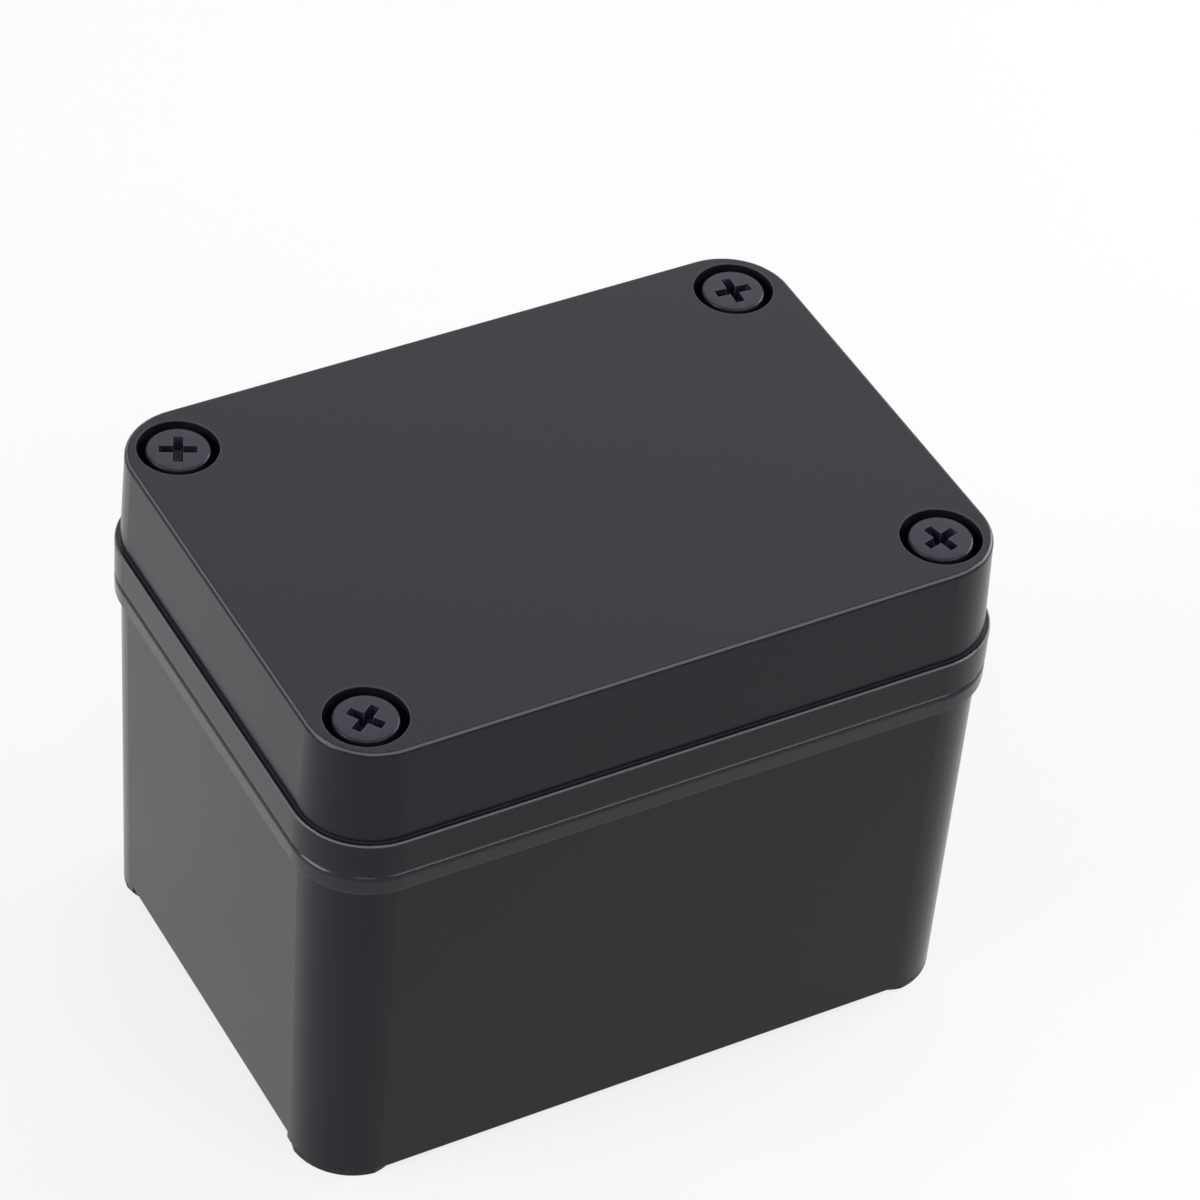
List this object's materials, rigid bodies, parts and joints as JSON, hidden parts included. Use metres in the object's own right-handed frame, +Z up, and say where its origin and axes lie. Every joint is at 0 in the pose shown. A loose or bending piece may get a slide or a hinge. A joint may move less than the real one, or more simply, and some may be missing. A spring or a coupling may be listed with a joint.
{
  "type": "plastic project box",
  "caption": "Deep black plastic project box with a sealed lift-off lid held by corner screws, and a perforated mounting plate on posts inside.",
  "frame": {"origin": "middle of the footprint, at the undersides of the feet", "axes": "+X along the long front side, +Y from front to back, +Z up through the lid"},
  "size_m": [0.11, 0.08, 0.085],
  "materials": {
    "case": "black moulded, fine matt texture",
    "gasket": "soft black sealing rubber",
    "plate": "light grey moulded, smooth matt",
    "lid_screw": "black moulded, slightly bluish, satin",
    "plate_screw": "zinc-plated steel, satin"
  },
  "bodies": {
    "base": {"base_shell": "case"},
    "lid": {"lid_shell": "case", "lid_gasket": "gasket"},
    "plate": {"mounting_plate": "plate"},
    "lid_screw_front_left": {"lid_screw_front_left": "lid_screw"},
    "lid_screw_front_right": {"lid_screw_front_right": "lid_screw"},
    "lid_screw_back_right": {"lid_screw_back_right": "lid_screw"},
    "lid_screw_back_left": {"lid_screw_back_left": "lid_screw"},
    "plate_screw_left": {"plate_screw_left": "plate_screw"},
    "plate_screw_right": {"plate_screw_right": "plate_screw"}
  },
  "joints": [
    {"name": "lid_lift", "type": "slide", "parent": "base", "child": "lid", "axis": [0, 0, 1], "range_m": [0, 0.047]},
    {"name": "plate_lift", "type": "slide", "parent": "base", "child": "plate", "axis": [0, 0, 1], "range_m": [0, 0.0645]},
    {"name": "lid_screw_front_left_lift", "type": "slide", "parent": "lid", "child": "lid_screw_front_left", "axis": [0, 0, 1], "range_m": [0, 0.034]},
    {"name": "lid_screw_front_right_lift", "type": "slide", "parent": "lid", "child": "lid_screw_front_right", "axis": [0, 0, 1], "range_m": [0, 0.034]},
    {"name": "lid_screw_back_right_lift", "type": "slide", "parent": "lid", "child": "lid_screw_back_right", "axis": [0, 0, 1], "range_m": [0, 0.034]},
    {"name": "lid_screw_back_left_lift", "type": "slide", "parent": "lid", "child": "lid_screw_back_left", "axis": [0, 0, 1], "range_m": [0, 0.034]},
    {"name": "plate_screw_left_lift", "type": "slide", "parent": "plate", "child": "plate_screw_left", "axis": [0, 0, 1], "range_m": [0, 0.019]},
    {"name": "plate_screw_right_lift", "type": "slide", "parent": "plate", "child": "plate_screw_right", "axis": [0, 0, 1], "range_m": [0, 0.019]}
  ],
  "couplings": [
    {"joint": "plate_lift", "follows": "lid_lift", "ratio": 1.3723}
  ]
}
